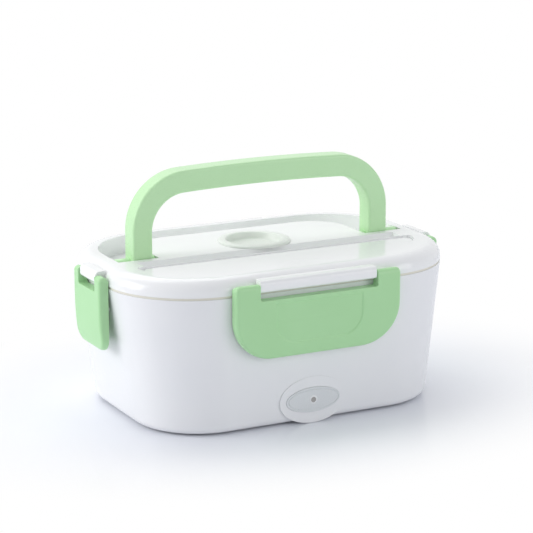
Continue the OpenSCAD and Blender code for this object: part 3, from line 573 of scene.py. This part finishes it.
# Each is: name, colour, second shade, roughness, grain in mm, bump.
finishes = {
    # Glossy moulded PP of the tub: white with a broad soft highlight and a faint drift of tone.
    "white_pp": finish("white_gloss_polypropylene", "#F5F5F6", "#F0F1F3", 0.24, 0.8, 0.05, IOR=1.49),
    # Highly polished tool for the lid: the handle's green shows mirrored in it.
    "lid_pp": finish("white_high_gloss_polypropylene", "#FAFAFA", "#F6F7F7", 0.13, 0.9, 0.03, IOR=1.5),
    # Unfilled PP of the vent plug: a cooler, slightly green white, softer than the lid around it.
    "vent_pp": finish("translucent_white_polypropylene", "#E9ECE7", "#E3E7E1", 0.3, 0.6, 0.05, IOR=1.49),
    # Satin tool inside the tub and the lid: highlights spread, so the well reads as deep.
    "liner_pp": finish("white_satin_polypropylene", "#F1F1EE", "#ECECE9", 0.38, 0.6, 0.06, IOR=1.49),
    # Coloured PP of the latches: an even mint with a satin sheen, and a painted highlight paler along its
    # edges.
    "mint_pp": finish("mint_satin_polypropylene", "#B6E6AE", "#B0E1A7", 0.33, 0.7, 0.05,
                      edge="#CBF1C5", IOR=1.49),
    # The same green, a little glossier so that it catches long highlights; painted lighter than the latches'
    # mint for the brighter light on the grip, with a painted highlight paler along its edges.
    "handle_pp_painted_lighter": finish("mint_gloss_polypropylene_painted_lighter", "#CAF2BF", "#C4EDB8", 0.3, 0.7, 0.05,
                        edge="#D6F7CF", IOR=1.49),
    # Uncoloured PP of the tray: the cream line between the two whites at the seam.
    "tray_pp": finish("natural_polypropylene", "#EAE7DB", "#E4E1D4", 0.36, 0.7, 0.05, IOR=1.49),
    # Soft seal: dull and grey beside the liner, with hardly any highlight.
    "silicone": finish("clear_grey_silicone", "#E3E6E0", "#DBDFD9", 0.42, 0.5, 0.05, IOR=1.41),
    # Non-slip feet: matt, with a coarse rubber grain.
    "feet_tpe": finish("grey_thermoplastic_rubber", "#B9BCBE", "#AFB2B5", 0.62, 0.4, 0.12),
    # Rolled sheet as it comes: a soft, slightly cloudy metal shine.
    "heater_alu": finish("mill_finish_aluminium", "#C9CBCD", "#BFC2C5", 0.34, 0.35, 0.06, metallic=1.0),
    # Screws and clamp: a cool bright plating with blotchy gloss.
    "steel": finish("zinc_plated_steel", "#C4C6C6", "#B4B6B5", 0.3, 0.4, 0.05, metallic=1.0),
    # Inlet pins: warm, yellow and nearly mirror-bright.
    "brass": finish("bright_brass", "#D9BE7C", "#CDB06C", 0.24, 0.4, 0.03, metallic=1.0),
    # Thermostat body: near black and dull, the darkest thing in the box.
    "phenolic": finish("black_phenolic", "#33302E", "#2B2927", 0.5, 0.5, 0.08),
    # Fuse sleeve: straw-coloured and rough, with no shine. The real weave is finer; it is drawn at 0.4 mm.
    "fuse_sleeve": finish("woven_glass_sleeve", "#DAD2BA", "#CFC6AC", 0.7, 0.4, 0.2),
    # Neutral leads: soft blue insulation with a low sheen.
    "wire_pvc": finish("blue_pvc", "#3E6FA8", "#38669C", 0.42, 0.4, 0.05),
    # Live leads: the same insulation in brown.
    "brown_pvc": finish("brown_pvc", "#8A5A3A", "#7E5135", 0.42, 0.4, 0.05),
    # Inlet: a hard, heat-proof moulding, drier and greyer than the tub's white.
    "inlet_pp": finish("off_white_polyamide", "#E6E6E3", "#DFDFDC", 0.45, 0.4, 0.09),
    # Oval plate: frosted, so it stays a shade darker and cooler than the pad round it.
    "indicator_abs": finish("frosted_abs", "#E6E9EA", "#E0E3E5", 0.3, 0.5, 0.05, IOR=1.52),
    # Lamp lens: clear grey with a small sharp highlight, unlit.
    "lamp_lens": finish("smoked_acrylic", "#A8A5A2", "#A09D9A", 0.12, 0.5, 0.02, IOR=1.49),
    # Lamp board: green lacquer over fibre, half glossy.
    "board": finish("green_lacquered_board", "#4F8C5C", "#467F52", 0.4, 0.4, 0.06),
}

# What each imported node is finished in. Those that a moulding below stands for have their finish too.
finish_of = {
    "outer_shell": "white_pp", "inner_liner": "liner_pp", "bottom_cover": "white_pp", "feet": "feet_tpe",
    "cover_screws": "steel", "heater_plate": "heater_alu", "ptc_heater": "heater_alu",
    "heater_clamp": "steel", "clamp_screws": "steel", "thermostat": "phenolic",
    "thermal_fuse": "fuse_sleeve", "wires": "wire_pvc", "inlet_socket": "inlet_pp", "inlet_pins": "brass",
    "indicator_plate": "indicator_abs", "indicator_lamp": "lamp_lens", "lamp_board": "board",
    "food_tray": "tray_pp", "side_container": "tray_pp", "lid_shell": "lid_pp", "inner_lid": "liner_pp",
    "lid_seal": "silicone", "vent_plug": "vent_pp", "spoon": "white_pp", "spoon_cover": "lid_pp",
    "handle": "handle_pp_painted_lighter", "latch_front": "mint_pp", "latch_back": "mint_pp", "latch_left": "mint_pp",
    "latch_right": "mint_pp",
}

# The width in mm by which sharp edges are broken, and the turn in degrees below which shading is smooth.
USUAL_EDGE, USUAL_SOFT = 0.2, 32
edge_of = {"outer_shell": 0.3, "lid_shell": 0.35, "spoon_cover": 0.3, "handle": 0.0}
soft_of = {"lid_shell": 56}


def stand_for(piece, body, slot, material, *replaced):
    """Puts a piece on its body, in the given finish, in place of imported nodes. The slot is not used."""
    piece.data.materials.clear()
    piece.data.materials.append(finishes[material])
    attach(piece, body)
    if replaced:
        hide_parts(*replaced)


# ------------------------------------------------------------------ the scene
bpy.context.scene.view_settings.view_transform = "Standard"
place_camera()
light_studio()
lay_floor()

for name, material in finish_of.items():
    node = nodes[name]
    node.data.materials.clear()
    node.data.materials.append(finishes[material])
    ease_edges(node, edge_of.get(name, USUAL_EDGE), soft_of.get(name, USUAL_SOFT))

# The handle wears the mint painted lighter for the brighter light on the grip.
stand_for(make_handle(), "handle", "mint_pp", "handle_pp_painted_lighter", "handle")
stand_for(make_spoon_cover(), "spoon_door", "white_pp", "lid_pp", "spoon_cover")
stand_for(make_vent_plug(), "vent", "white_pp", "vent_pp", "vent_plug")
stand_for(make_lamp_collar(), "base", "white_pp", "white_pp")
for body, turn, sizes in (("latch_front", 0, LONG_LATCH), ("latch_back", 180, LONG_LATCH),
                          ("latch_left", -90, SHORT_LATCH), ("latch_right", 90, SHORT_LATCH)):
    latch = make_latch(f"{body}_moulding", f"{body}_hinge", turn, **sizes)
    stand_for(latch, body, "mint_pp", "mint_pp", body)
blue, brown = make_wires()
stand_for(blue, "base", "wire_pvc", "wire_pvc", "wires")
stand_for(brown, "base", "wire_pvc", "brown_pvc", "wires")
